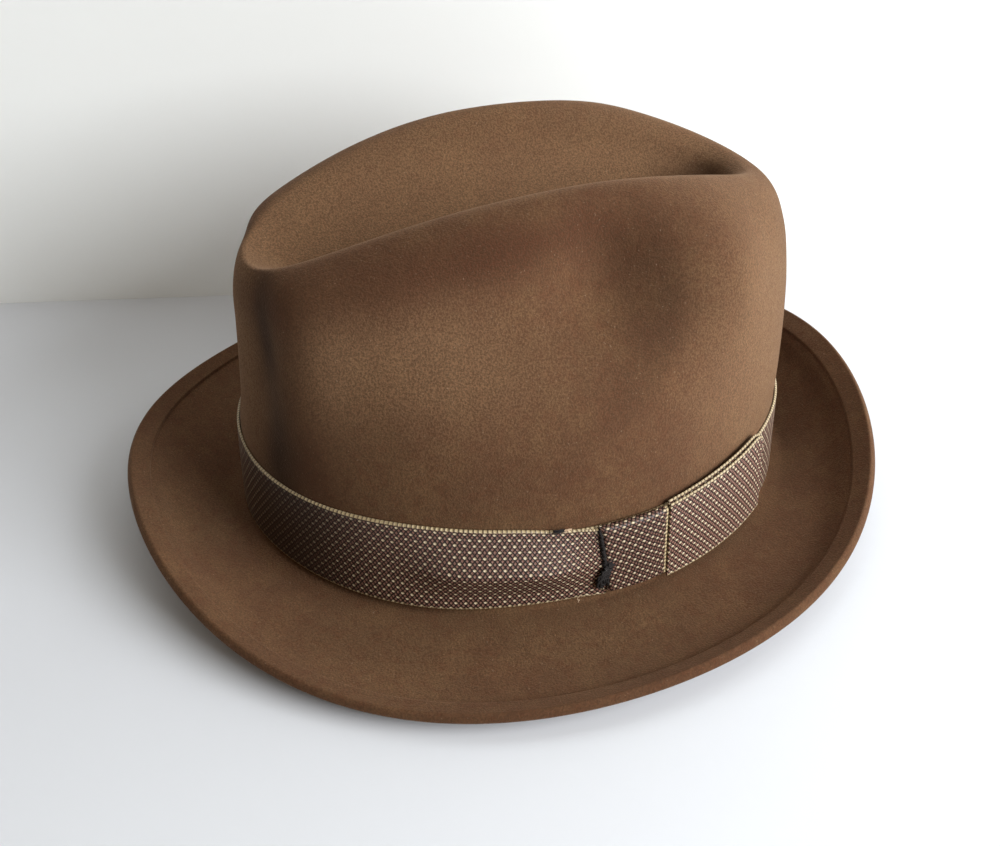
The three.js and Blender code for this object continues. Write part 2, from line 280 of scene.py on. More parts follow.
def ridge_share(angle):
    """Height of the ridges round the crown, as a share of the crown's height."""
    return blend(*CROWN_ROWS[RIDGE_ROW][3:6], angle)


def from_front(angle):
    """Degrees from the front, 0 to 180, the same on both sides of the hat."""
    return np.abs(np.degrees(np.arctan2(np.sin(angle), np.cos(angle))))


def centre_y(size):
    """How far the crown stands back so that the hat's outline is centred front to back."""
    reach = around(np.multiply(BRIM_REACH, size.brim_width), np.array([0.0, np.pi]))
    return (reach[0] - reach[1]) / 2


def placed(size, level, z):
    """Points (x, y, z) of the hat from level places round the crown's middle and their heights."""
    return np.concatenate([level + [0, centre_y(size)], z[..., None]], -1)


def dent_depth(size, angle, share):
    """Sum of Gaussian hills depth W/2 exp(-((a - a0)/spread)^2/2 - ((h - h0)/rise)^2/2)."""
    degrees = from_front(angle)
    total = 0.0
    for at, height, spread, rise, depth in DENTS:
        dent = np.exp(-(((degrees - at) / spread) ** 2 + ((share - height) / rise) ** 2) / 2)
        total = total + depth * size.crown_width / 2 * dent
    return total


def foot_points(size, angle, turn):
    """Bend from brim to crown: out = R (1 - sin turn), z = T + R (1 - cos turn)."""
    angle, turn = np.broadcast_arrays(angle, turn)
    level = foot_oval(size, angle, size.break_radius * (1 - np.sin(turn)))
    return placed(size, level, size.thickness + size.break_radius * (1 - np.cos(turn)))


def crown_points(size, row, angle):
    """Points of the crown for table rows (R, 1, 8) at angles (C,): the row's oval, less the dents."""
    front, side, back, at_front, at_side, at_back, ring, dented = np.moveaxis(np.asarray(row), -1, 0)
    height = blend(at_front, at_side, at_back, angle)
    share = height / ridge_share(angle)
    level = oval(size, front, side, back, ring, angle)
    level = level - outward(size, angle) * (dented * dent_depth(size, angle, share))[..., None]
    return placed(size, level, height * size.crown_height)


def brim_points(size, rows, angle):
    """Points of the brim for table rows at angles (C,): the foot's oval moved out by
    reach run - inset, raised by lift (ends cos^2 + sides sin^2)."""
    run, inset, ends, sides = np.asarray(rows, float)[:, None, :].transpose(2, 0, 1)
    reach = around(np.multiply(BRIM_REACH, size.brim_width), angle)
    lift = around(np.multiply(BRIM_LIFT, size.brim_lift), angle)
    level = foot_oval(size, angle, reach * run - inset * size.welt_width)
    rise = lift * (ends * np.cos(angle) ** 2 + sides * np.sin(angle) ** 2)
    return placed(size, level, size.thickness + rise)


def lengths(points):
    """Mean distance from the first ring to each ring of points (R, C, 3)."""
    step = np.linalg.norm(np.diff(points, axis=0), axis=-1).mean(1)
    return np.concatenate([[0.0], np.cumsum(step)])


def felt_rings(size, angle):
    """Upper side of the felt as rings (R, C, 3) from the brim's edge to the bottom of the crease, and
    the share of the turned edge's thickness on each ring: 1 - smoothstep across its inner border."""
    brim = brim_points(size, BRIM_ROWS, angle)
    at = lengths(brim)
    brim, place = refine(brim, at, size.steps)
    u = np.clip((place - at[2]) / (at[3] - at[2]), 0, 1)
    welt = 1 - u * u * (3 - 2 * u)
    turn = np.linspace(0, np.pi / 2, 6)[:, None]
    bend = foot_points(size, angle, turn)
    table = np.asarray(CROWN_ROWS)
    at = lengths(crown_points(size, table[:, None, :], angle))
    table, _ = refine(table, at, size.steps + EXTRA_STEPS)
    crown = crown_points(size, table[:, None, :], angle)
    wall = bend[-1] + (crown[0] - bend[-1]) * np.array([0.2, 0.4, 0.6, 0.8])[:, None, None]
    rings = np.concatenate([brim, bend, wall, crown])
    return rings, np.concatenate([welt, np.zeros(len(rings) - len(welt))])


def ring_normals(rings):
    """Unit directions off a grid of rings: cross product of the steps round and across the rings."""
    along = np.roll(rings, -1, 1) - np.roll(rings, 1, 1)
    across = np.gradient(rings, axis=0)
    normal = np.cross(along, across)
    return normal / np.linalg.norm(normal, axis=-1, keepdims=True)


def grid_faces(rows, columns, wrap_rows, wrap_columns):
    """Quads (F, 4) of a grid of points, row by row, with the last joined to the first where it wraps."""
    i = np.arange(rows if wrap_rows else rows - 1)[:, None]
    j = np.arange(columns if wrap_columns else columns - 1)[None, :]
    up, right = (i + 1) % rows, (j + 1) % columns
    corners = [i * columns + j, i * columns + right, up * columns + right, up * columns + j]
    return np.stack([np.broadcast_to(c, (i.size, j.size)).ravel() for c in corners], -1)


def strip_faces(ring, flip):
    """Quads from side to side that close a ring which is the same on both sides of the hat."""
    n = len(ring)
    k = np.arange(0, n // 2)
    faces = np.stack([ring[k], ring[k + 1], ring[(n - k - 1) % n], ring[(n - k) % n]], -1)
    return faces[:, ::-1] if flip else faces


def add_mesh(name, points, faces, uv=None):
    """A smooth-shaded mesh object from points in millimetres and quads whose equal corners are merged.
    uv gives (F, 4, 2) corner coordinates in millimetres."""
    mesh = bpy.data.meshes.new(name)
    mesh.vertices.add(len(points))
    mesh.vertices.foreach_set("co", (np.asarray(points) * MM).astype(np.float32).ravel())
    keep = np.stack([faces[:, k] != np.roll(faces, 1, 1)[:, k] for k in range(4)], -1)
    mesh.loops.add(int(keep.sum()))
    mesh.loops.foreach_set("vertex_index", faces[keep].astype(np.int32))
    size = keep.sum(1)
    mesh.polygons.add(len(faces))
    mesh.polygons.foreach_set("loop_start", (np.cumsum(size) - size).astype(np.int32))
    if uv is not None:
        layer = mesh.uv_layers.new(name="ribbon")
        layer.data.foreach_set("uv", uv[keep].astype(np.float32).ravel())
    mesh.update(calc_edges=True)
    mesh.validate()
    mesh.shade_smooth()
    piece = bpy.data.objects.new(name, mesh)
    bpy.context.scene.collection.objects.link(piece)
    return piece


def build_felt(size):
    """The felt body: rings plus normal times the turned edge above, rings minus normal times the
    thickness below, and half an ellipse round the brim's edge between them."""
    angle = np.arange(size.columns) / size.columns * 2 * np.pi
    rings, welt = felt_rings(size, angle)
    normal = ring_normals(rings)
    upper = rings + normal * (welt * size.welt_thickness)[:, None, None]
    lower = rings - normal * size.thickness
    lower[..., 2] = np.maximum(lower[..., 2], 0)
    out = np.concatenate([outward(size, angle), np.zeros((size.columns, 1))], -1)
    middle, half = (upper[0] + lower[0]) / 2, (upper[0] - lower[0]) / 2
    turn = np.radians([-60, -30, 0, 30, 60])[:, None, None]
    nose = middle + half * np.sin(turn) + out * 0.1 * size.welt_width * np.cos(turn)
    points = np.concatenate([lower[::-1], nose, upper])
    rows, columns = points.shape[:2]
    ring = np.arange(columns)
    faces = grid_faces(rows, columns, False, True)
    ends = [strip_faces(ring, True), strip_faces(ring + (rows - 1) * columns, False)]
    piece = add_mesh("felt", points.reshape(-1, 3), np.concatenate([faces, *ends]))
    for name, value in felt_painted_light(size, points, angle, len(rings)).items():
        layer = piece.data.attributes.new(name, "FLOAT", "POINT")
        layer.data.foreach_set("value", np.clip(value, 0, 1).astype(np.float32).ravel())
    return piece


def felt_painted_light(size, points, angle, count):
    """Where colour is painted on the felt, 0 to 1 on a grid of points whose last count rings are the upper
    side. reddish_shade: painted reddish shade under the two ridges, beside the pinch and towards the
    brim's edge. painted_highlight: painted highlight in the crease, on the back of the crown, behind the
    pinch and on the nose. painted_shade: painted shade in the pinch, at the back end of the crease and in
    a crescent along the back of each hollow. Each is a sum of Gaussians of the angle and the height, and
    the crescent's is steeper towards the back, round the angle 108 deg - 0.012 (100 - z)^2."""
    top = size.crown_height * ridge_share(angle)
    degrees = from_front(angle)
    z = points[..., 2]
    ring = np.arange(len(points))[:, None]
    crest = len(points) - 1 - (len(CROWN_ROWS) - 1 - RIDGE_ROW) * (size.steps + EXTRA_STEPS)
    outer = np.clip(0.5 - (ring - crest) / 6, 0, 1)
    wall = outer * (ring > len(points) - count)
    # Painted reddish shade in a band just under the ridges.
    below = np.exp(-((((top - z) - 9) / 8.5) ** 2)) * outer * np.clip((150 - degrees) / 50, 0, 1)
    along = (points[..., 1] - centre_y(size)) / size.crown_length
    level = np.hypot(points[..., 0] / size.crown_width, along)
    reach = around(np.multiply(BRIM_REACH, size.brim_width), angle)
    # Painted reddish shade towards the brim's edge.
    rim = np.clip((level - 0.5) * size.crown_width / reach - 0.75, 0, 0.25) * 4
    # Painted highlight on the crease's far wall, less towards its top.
    crease = (1 - outer) * (1 - 0.5 * np.clip((z - 108) / 14, 0, 1))
    bottom = (1 - outer) * np.exp(-(((degrees - 168) / 24) ** 2) - ((z - 101) / 7) ** 2)
    past = degrees - 108 + 0.012 * np.clip(100 - z, 0, 60) ** 2
    crescent = np.exp(-((past / np.where(past < 0, 11, 4)) ** 2) - ((z - 92) / 24) ** 2) * wall
    # Painted reddish shade under the ridges and towards the brim's edge, painted highlight in the crease,
    # and painted shade in the crescents and at the back end of the crease.
    painted = {
        "reddish_shade": 0.9 * below + 0.5 * rim,
        "painted_highlight": 0.8 * crease,
        "painted_shade": 0.4 * crescent + 0.7 * bottom,
    }
    for kind, share, at, spread, height, rise in PAINTED_PATCHES:
        patch = np.exp(-(((degrees - at) / spread) ** 2) - ((z - height) / rise) ** 2)
        painted[kind] = painted[kind] + share * patch * wall * (z > 30)
    return painted


def foot_lengths(size):
    """Angles round the foot's oval, and the length from the front to each: the steps of a fine
    polygon, added up."""
    fine = np.linspace(0, 2 * np.pi, FINE)
    step = np.linalg.norm(np.diff(foot_oval(size, fine), axis=0), axis=-1)
    return fine, np.concatenate([[0.0], np.cumsum(step)])


def length_at(size, angle):
    """Length along the foot's oval from the front to an angle."""
    return np.interp(angle, *foot_lengths(size))


def angle_at(size, length):
    """Angle reached by a length along the foot's oval from the middle of the left side to the back."""
    fine, s = foot_lengths(size)
    return np.interp(length, s - np.interp(np.pi / 2, fine, s), fine)


def ribbon_points(size, ribbon, angle, rise, off):
    """Points beside the crown's wall: up the straight line from its foot to the first crown row by
    rise (0 to 1 up the ribbon), then out by off."""
    base = foot_points(size, angle, np.pi / 2)
    top = crown_points(size, np.asarray(CROWN_ROWS[0]), angle)
    low = size.thickness + size.break_radius + ribbon.clearance
    share = (low + rise * ribbon.width - base[..., 2]) / (top[..., 2] - base[..., 2])
    points = base + (top - base) * share[..., None]
    points[..., :2] += outward(size, angle) * off[..., None]
    return points


def edge_round(v, soft):
    """1 over the ribbon's width and down to 0 at both edges on a quarter circle soft wide."""
    u = np.clip((np.abs(2 * v - 1) - (1 - 2 * soft)) / (2 * soft), 0, 1)
    return np.sqrt(1 - u * u)


def stations(count, soft):
    """Places 0 to 1 across a ribbon, close together at its two edges."""
    inner = np.linspace(soft, 1 - soft, count)
    edge = soft * (1 - np.cos(np.linspace(0, np.pi / 2, 5)[:-1]))
    return np.concatenate([edge, inner, 1 - edge[::-1]])


def hill(angle, shape, power):
    """A smooth hill round the hat, d exp(-((a - a0) / spread)^power), for a shape (a0, spread, d)."""
    at, spread, depth = shape
    return depth * np.exp(-(((angle - np.radians(at)) / np.radians(spread)) ** power))


def bow_dip(ribbon, angle):
    """Share of its width by which the ribbon's upper edge is drawn down under the bow, as a hill."""
    return hill(angle, UPPER_EDGE_DIP, 4) / ribbon.width


def fold_out(angle, v):
    """How far the ribbon stands out in its lengthwise fold before the bow: a hill of the angle times
    1 - |v - v0| / spread, not below 0, with one spread above the fold's place v0 and one below it."""
    spread = np.where(v > FOLD_PLACE, *FOLD_SPREAD)
    return hill(angle, LENGTHWISE_FOLD, 4) * np.clip(1 - np.abs(v - FOLD_PLACE) / spread, 0, 1)


def knot_slant(v):
    """How far the knot's front edge leans along the ribbon at the place v across it, in millimetres."""
    return 3.4 * (0.45 - v)


def build_band(size, ribbon):
    """The ribbon round the crown: a closed section carried round the hat. Its outside is soft: it
    stands out in a lengthwise fold before the bow, flares at the foot there by a hill of the angle times
    exp(-(v / 0.3)^2), and waves a little, by sines of the angle."""
    count = 640
    angle = np.arange(count) / count * 2 * np.pi
    s = length_at(size, angle)
    v = stations(22, SOFT_EDGE)
    a, w = np.meshgrid(angle, v, indexing="ij")
    wave = 0.12 * np.sin(7 * a + 1.3) * np.sin(np.pi * w) + 0.08 * np.sin(13 * a + 4 * w)
    body = ribbon.thickness * 0.85 + fold_out(a, w) + wave
    off = ribbon.clearance + np.maximum(body * edge_round(w, SOFT_EDGE), 0.0)
    flare = hill(a, FOOT_FLARE, 2)
    off = off + flare * np.exp(-((w / 0.3) ** 2))
    rise = w * (1 + 0.025 * flare - bow_dip(ribbon, a))
    outer = ribbon_points(size, ribbon, a, rise, off)
    inner = ribbon_points(size, ribbon, a, rise, np.full_like(off, ribbon.clearance))[:, ::-1]
    points = np.concatenate([outer, inner[:, 1:-1]], 1)
    rows, columns = points.shape[:2]
    faces = grid_faces(rows, columns, True, True)
    along = np.append(s, length_at(size, 2 * np.pi))
    across = np.concatenate([v, v[::-1][1:-1]]) * ribbon.width
    uv = strip_uv(faces, columns, rows, along, across)
    return add_mesh("ribbon_band", points.reshape(-1, 3), faces, uv)


def strip_uv(faces, columns, rows, along, across):
    """Corner coordinates (F, 4, 2) in millimetres for grid faces: along by row, across by column. A
    face that wraps from the last row to the first takes the entry after the last."""
    row, column = faces // columns, faces % columns
    wraps = (row.max(1) == rows - 1) & (row.min(1) == 0) & (rows > 2)
    row = np.where(wraps[:, None] & (row == 0), len(along) - 1, row)
    return np.stack([np.asarray(along)[row], np.asarray(across)[column]], -1)


def closed_strip(name, sections, along, across):
    """A piece of ribbon from closed sections (R, C, 3) with its two ends capped."""
    rows, columns = sections.shape[:2]
    faces = grid_faces(rows, columns, False, True)
    uv = strip_uv(faces, columns, 0, along, across)
    k = np.arange(columns // 2 - 1)
    cap = np.stack([k, k + 1, columns - k - 2, columns - k - 1], -1)
    caps = np.concatenate([cap, cap[:, ::-1] + (rows - 1) * columns])
    cap_uv = strip_uv(caps, columns, 0, along, across)
    faces, uv = np.concatenate([faces, caps]), np.concatenate([uv, cap_uv])
    return add_mesh(name, sections.reshape(-1, 3), faces, uv)


def build_knot(size, ribbon):
    """The ribbon wound round the middle of the bow: a patch that swells by t (0.86 + 0.14 sin(pi u)),
    falls off round its edges, and has two soft folds along it, 0.16 mm cos(2 pi (1.6 u - 0.35 v + 0.1)),
    and a slanting front edge."""
    inside = 2 * ribbon.clearance + ribbon.thickness
    u = np.linspace(0, 1, 41)
    v = stations(25, BOW_EDGE)
    uu, vv = np.meshgrid(u, v, indexing="ij")
    rise = (ribbon.knot_rise + vv * (ribbon.knot_height - 1.6)) / ribbon.width
    ends = np.clip(np.minimum(uu, 1 - uu) / 0.05, 0, 1)
    fold = 0.16 * np.cos(2 * np.pi * (1.6 * uu - 0.35 * vv + 0.1)) * np.sin(np.pi * vv) ** 0.5
    swell = ribbon.knot_thickness * (0.86 + 0.14 * np.sin(np.pi * uu)) + fold * ends
    swell = swell * (0.35 + 0.65 * np.sqrt(ends * (2 - ends))) * (0.3 + 0.7 * edge_round(vv, BOW_EDGE))
    length = ribbon.knot_start + knot_slant(vv) * (1 - uu) + uu * ribbon.knot_width
    angle = angle_at(size, length)
    outer = ribbon_points(size, ribbon, angle, rise, inside + swell)
    inner = ribbon_points(size, ribbon, angle, rise, np.full_like(swell, inside))[:, ::-1]
    sections = np.concatenate([outer, inner], 1)
    step = np.linalg.norm(np.diff(sections[len(u) // 2], axis=0), axis=-1)
    across = np.concatenate([[0.0], np.cumsum(step)])
    return closed_strip("bow_wrap", sections[::-1], u[::-1] * ribbon.knot_width, across)


def build_loop(size, ribbon):
    """The bow's loop: one ribbon that goes out from the knot, turns back at the fold on half a circle
    and returns behind itself a little higher. a goes along the band and o off it, (na, no) is the way
    that the loop's outer face looks, and back goes from 0 on its front layer to 1 on its back layer."""
    inside = 2 * ribbon.clearance + ribbon.thickness
    half = 0.42 * ribbon.thickness
    radius = ribbon.thickness - half
    short = 1.5  # how far before the loop's stated length its soft fold ends
    straight = ribbon.loop_length - short - ribbon.clearance - ribbon.thickness
    q = np.linspace(0, 1, 60)
    none, full = np.zeros_like(q), np.ones_like(q)
    turn = np.linspace(0, np.pi, 9)[1:-1]
    a = np.concatenate([q * straight, straight + radius * np.sin(turn), q[::-1] * straight])
    o = np.concatenate([2 * radius * full, radius + radius * np.cos(turn), none])
    na = np.concatenate([none, np.sin(turn), none])
    no = np.concatenate([full, np.cos(turn), -full])
    back = np.concatenate([none, turn / np.pi, full])
    v = stations(15, BOW_EDGE)
    share = (a / ribbon.loop_length)[:, None]
    behind = back[:, None] * (1 - np.clip(share, 0, 1) ** 4)
    lean = (ribbon.loop_rise + 0.8) * share + 0.7 * behind - 0.8 * (1 - share) ** 2
    past = np.maximum(0, a - (straight - ribbon.loop_corner))[:, None]
    drop = ribbon.loop_corner - np.sqrt(np.maximum(0, ribbon.loop_corner**2 - past**2))
    low = lean * 0.35
    high = ribbon.width + lean - 0.75 * drop
    rise = (low + v[None, :] * (high - low)) / ribbon.width
    lift = 0.25 * np.sin(np.pi * share * 0.9)
    thin = half * (0.25 + 0.75 * edge_round(v, BOW_EDGE))[None, :]

    def face(side):
        along = a[:, None] + side * thin * na[:, None]
        angle = angle_at(size, ribbon.knot_start + ribbon.knot_width + ribbon.clearance + along)
        off = inside + half + o[:, None] + side * thin * no[:, None] + lift * (o[:, None] > radius)
        return ribbon_points(size, ribbon, angle, rise, off)

    sections = np.concatenate([face(1), face(-1)[:, ::-1]], 1)
    s = np.concatenate([[0], np.cumsum(np.hypot(np.diff(a), np.diff(o)))])
    across = np.concatenate([v, v[::-1]]) * ribbon.width
    return closed_strip("bow_wing", sections[::-1], s[::-1], across)


def build_end(size, ribbon):
    """The short end of ribbon in front of the knot, lying on the band, thin towards its cut edge."""
    u = np.linspace(0, 1, 13)
    v = stations(15, SOFT_EDGE)
    uu, vv = np.meshgrid(u, v, indexing="ij")
    inside = 2 * ribbon.clearance * uu + 0.9 * ribbon.thickness
    length = ribbon.knot_start - ribbon.end_length + uu * (ribbon.end_length - ribbon.clearance)
    angle = angle_at(size, length + knot_slant(vv) * uu)
    body = ribbon.end_thickness * (0.05 + 0.95 * uu) * edge_round(vv, SOFT_EDGE)
    crease = 0.25 * np.exp(-(((vv - 0.4) / 0.1) ** 2)) * (1 - uu)
    rise = vv * (1 - bow_dip(ribbon, angle))
    inside = inside + fold_out(angle, vv)
    outer = ribbon_points(size, ribbon, angle, rise, inside + np.maximum(body - crease, 0.02))
    inner = ribbon_points(size, ribbon, angle, rise, inside)[:, ::-1]
    across = np.concatenate([v, v[::-1]]) * ribbon.width
    start = length_at(size, angle[0, 0])
    sections = np.concatenate([outer, inner], 1)
    return closed_strip("bow_end", sections[::-1], start + u[::-1] * ribbon.end_length, across)


def build_thread(name, centre, spread, length, turns, radius, seed):
    """A loose thread: a tube with six sides round a curve that goes through centre by length, plus
    spread times the mean of three sines with random phases."""
    sides = 6
    random = np.random.default_rng(seed)
    t = np.linspace(0, 1, 14 * turns + 2)
    phase = random.uniform(0, 2 * np.pi, (3, 3))
    rate = turns * np.array([1.0, 1.7, 2.6])
    wave = np.sin(2 * np.pi * t[:, None, None] * rate + phase).mean(-1)
    path = np.asarray(centre) + wave * np.asarray(spread) + (t[:, None] - 0.5) * np.asarray(length)
    way = np.gradient(path, axis=0)
    way /= np.linalg.norm(way, axis=1, keepdims=True)
    side = np.cross(way, [0.3, 0.2, 1.0])
    side /= np.linalg.norm(side, axis=1, keepdims=True)
    up = np.cross(side, way)
    corner = np.arange(sides) / sides * 2 * np.pi
    taper = radius * np.sin(np.pi * np.clip(t * 0.9 + 0.05, 0, 1))[:, None, None] ** 0.4
    ring = side[:, None] * np.cos(corner)[:, None] + up[:, None] * np.sin(corner)[:, None]
    points = path[:, None] + taper * ring
    faces = grid_faces(len(t), sides, False, True)
    cap = np.array([[0, 1, 2, 3], [0, 3, 4, 5]])
    faces = np.concatenate([faces, cap, cap[:, ::-1] + (len(t) - 1) * sides])
    return add_mesh(name, points.reshape(-1, 3), faces)


def put(tree, kind, *values, **settings):
    """Adds one shader node with its settings. Its inputs are set or linked in order, or by the keys of
    one dictionary. A node among the values is linked by its first output."""
    node = tree.nodes.new("ShaderNode" + kind)
    for name, value in settings.items():
        setattr(node, name, value)
    inputs = values[0] if values and isinstance(values[0], dict) else dict(enumerate(values))
    for key, value in inputs.items():
        if isinstance(value, bpy.types.Node):
            value = value.outputs[0]
        if isinstance(value, bpy.types.NodeSocket):
            tree.links.new(value, node.inputs[key])
        else:
            node.inputs[key].default_value = value
    return node


def layered(tree, base, layers):
    """The colour that is left when each layer (share, colour) is laid over the base in turn."""
    for share, colour in layers:
        base = put(tree, "Mix", {0: share, 6: base, 7: colour}, data_type="RGBA").outputs[2]
    return base


def new_material(name):
    """An empty material and its tree."""
    material = bpy.data.materials.new(name)
    material.use_nodes = True
    material.node_tree.nodes.clear()
    return material, material.node_tree


def felt_material(colours):
    """Brushed fur felt: a soft dry brown with cloudy reddish and olive places, a fine speckled nap with
    pale specks of lint, and a pale bloom where the fur is seen edge on, plus painted reddish shade,
    painted shade and painted highlight from the piece's attributes."""
    material, tree = new_material("brushed_fur_felt")
    place = put(tree, "TexCoord").outputs["Object"]
    share = {}
    for name, (scale, detail, rough, low, high) in FELT_NOISE.items():
        inputs = {"Vector": place, "Scale": scale, "Detail": detail, "Roughness": rough}
        noise = put(tree, "TexNoise", inputs)
        share[name] = put(tree, "MapRange", noise, low, high, interpolation_type="SMOOTHSTEP")
    # The felt piece's attributes of painted reddish shade, painted highlight and painted shade, each made
    # uneven by its noise where it has one.
    for name in ("reddish_shade", "painted_highlight", "painted_shade"):
        painted = put(tree, "Attribute", attribute_name=name).outputs["Fac"]
        share[name] = put(tree, "Math", painted, share.get(name, 1.0), operation="MULTIPLY")
    layers = (  # the dye, the painted reddish shade, painted highlight and painted shade, the dark between the hairs, and lint
        ("cloud", 1.0, colours.felt_olive),
        ("patch", 0.45, srgb("#785a3d")),
        ("mottle", 0.5, srgb("#5b3724")),
        ("reddish_shade", 0.75, srgb("#452416")),
        ("painted_highlight", 0.6, colours.felt_painted_highlight),
        ("painted_shade", 1.0, srgb("#1e0d05")),
        ("speck", 0.58, srgb("#3c2a1b")),
        ("lint", 0.3, srgb("#a08a74")),
    )
    laid = []
    for name, most, colour in layers:
        laid.append((put(tree, "Math", share[name], most, operation="MULTIPLY"), colour))
    fur = put(tree, "TexNoise", {"Vector": place, "Scale": 1500, "Detail": 2, "Roughness": 0.7})
    nap = put(tree, "Bump", {"Height": fur, "Strength": 0.55, "Distance": 0.0006})
    waves = put(tree, "TexNoise", {"Vector": place, "Scale": 70, "Detail": 3, "Roughness": 0.5})
    soft = put(tree, "Bump", {"Height": waves, "Strength": 0.25, "Distance": 0.002, "Normal": nap})
    finish = {
        "Base Color": layered(tree, colours.felt, laid),
        "Normal": soft,
        "Roughness": 0.95,
        "Specular IOR Level": 0.15,
        "Sheen Weight": 0.25,
        "Sheen Roughness": 0.45,
        "Sheen Tint": srgb("#c8a384"),
    }
    put(tree, "OutputMaterial", put(tree, "BsdfPrincipled", finish))
    return material


def ribbon_material(name, scene, width, selvages, lean=0.0, front=0.0, shade=0.0):
    """Woven ribbon: dark purple-brown ground crossed both ways by slanting mauve stitches, rows of pale
    dots set half a step on from each other, and a pale beaded selvage on each edge. selvages are the two
    widths of the pale edges in millimetres, lean the angle in degrees by which the rows turn from the
    ribbon's length, front how much painted shade darkens the ribbon beside the pinch, and shade how much
    painted shade darkens the stitches and dots all over, which makes a darker copy of the same ribbon."""
    weave, colours = scene.fedora_weave, scene.fedora_colours
    material, tree = new_material(name)
    smooth = {"interpolation_type": "SMOOTHSTEP"}
    uv = put(tree, "UVMap", uv_map="ribbon")
    length, height, _ = put(tree, "SeparateXYZ", uv).outputs

    # The weave's steps and rows, counted along and across the turned ribbon. The threads wander across
    # it by up to 0.4 mm each way, in stretches of about 3 mm.
    turned = put(tree, "Mapping", {"Vector": uv, "Rotation": (0.0, 0.0, -math.radians(lean))})
    pitch = (weave.dot_pitch, weave.row_pitch, 1.0)
    counted = put(tree, "VectorMath", turned, pitch, operation="DIVIDE")
    step, row, _ = put(tree, "SeparateXYZ", counted).outputs
    wander = put(tree, "TexNoise", {"Vector": uv, "Scale": 0.35, "Detail": 2.0})
    most = 0.8 / weave.row_pitch
    wander = put(tree, "Math", wander, most, -most / 2, operation="MULTIPLY_ADD")
    row = put(tree, "Math", row, wander, operation="ADD")

    # Dots in the middle of each cell, every other row half a step on, a little longer than wide.
    number = put(tree, "Math", row, operation="FLOOR")
    shifted = put(tree, "Math", number, 0.5, step, operation="MULTIPLY_ADD")
    cell = put(tree, "VectorMath", put(tree, "CombineXYZ", shifted, row), operation="FRACTION")
    cell_size = Vector((0.7 * weave.dot_pitch, weave.row_pitch, 0.0))
    spot = put(tree, "VectorMath", cell, cell_size, -cell_size / 2, operation="MULTIPLY_ADD")
    far = put(tree, "VectorMath", spot, operation="LENGTH").outputs["Value"]
    dot = put(tree, "MapRange", far, 0.17, 0.57, 1.0, 0.0, **smooth)

    # Stitches between them: a mesh of strokes slanting both ways, two for each step, frayed in spots of
    # 0.6 mm.
    fray = put(tree, "TexNoise", {"Vector": uv, "Scale": 1.6, "Detail": 2.0})
    stitch = put(tree, "MapRange", fray, 0.05, 0.5, **smooth)
    double = put(tree, "Math", step, 2.0, operation="MULTIPLY")
    for operation in ("ADD", "SUBTRACT"):
        slant = put(tree, "Math", double, row, operation=operation)
        beside = put(tree, "Math", slant, 0.5, operation="PINGPONG")
        stroke = put(tree, "MapRange", beside, 0.04, 0.36, **smooth)
        stitch = put(tree, "Math", stitch, stroke, operation="MULTIPLY")
    relief = put(tree, "Math", stitch, 0.5, dot, operation="MULTIPLY_ADD")

    # Painted shade beside the pinch, around 38 mm from the front, and beads on the pale edges.
    away = put(tree, "Math", put(tree, "Math", length, 38.0, operation="SUBTRACT"), operation="ABSOLUTE")
    pinch_shade = put(tree, "MapRange", away, 4.0, 46.0, front, 0.0, **smooth)
    across, along = (height, length) if lean == 0 else (length, height)
    selvage = put(tree, "MapRange", across, width - selvages[1], width - selvages[1] * 0.85, **smooth)
    if selvages[0]:
        low = put(tree, "MapRange", across, selvages[0] * 0.85, selvages[0] + 0.001, 1.0, 0.0, **smooth)
        selvage = put(tree, "Math", selvage, low, operation="ADD")
    phase = put(tree, "Math", along, math.pi / weave.bead_pitch, operation="MULTIPLY")
    bead = put(tree, "Math", put(tree, "Math", phase, operation="SINE"), operation="ABSOLUTE")
    raised = put(tree, "MapRange", bead, 0.1, 0.8, **smooth)
    relief = put(tree, "Math", selvage, bead, relief, operation="MULTIPLY_ADD")

    layers = (
        # Painted shade: the stitches and dots lose colour by shade, and the mask beside the pinch darkens
        # the ribbon towards #0c0706.
        (put(tree, "Math", stitch, 1 - shade, operation="MULTIPLY"), colours.stitch),
        (put(tree, "Math", dot, 1 - 0.4 * shade, operation="MULTIPLY"), colours.dot),
        (pinch_shade, srgb("#0c0706")),
        (selvage, layered(tree, srgb("#5c4c38"), [(raised, colours.selvage)])),
    )
    finish = {
        "Base Color": layered(tree, colours.ground, layers),
        "Normal": put(tree, "Bump", {"Height": relief, "Strength": 0.6, "Distance": 0.0003}),
        "Roughness": 0.42,
        "Specular IOR Level": 0.6 * (1 - shade),
    }
    put(tree, "OutputMaterial", put(tree, "BsdfPrincipled", finish))
    return material


def thread_material(name, code, fleck):
    """Cotton thread: one dry colour with a slight speckle along it, in flecks of 0.3 mm."""
    material, tree = new_material(name)
    place = put(tree, "TexCoord").outputs["Object"]
    speck = put(tree, "TexNoise", {"Vector": place, "Scale": 3000.0})
    share = put(tree, "Math", speck, 0.4, operation="MULTIPLY")
    colour = layered(tree, srgb(code), [(share, srgb(fleck))])
    put(tree, "OutputMaterial", put(tree, "BsdfPrincipled", {"Base Color": colour, "Roughness": 0.9}))
    return material


def table_material():
    """White painted board of the table: flat and matt."""
    material, tree = new_material("white_table")
    paint = put(tree, "BsdfPrincipled", {"Base Color": srgb("#d9dbe0"), "Roughness": 0.85})
    put(tree, "OutputMaterial", paint)
    return material


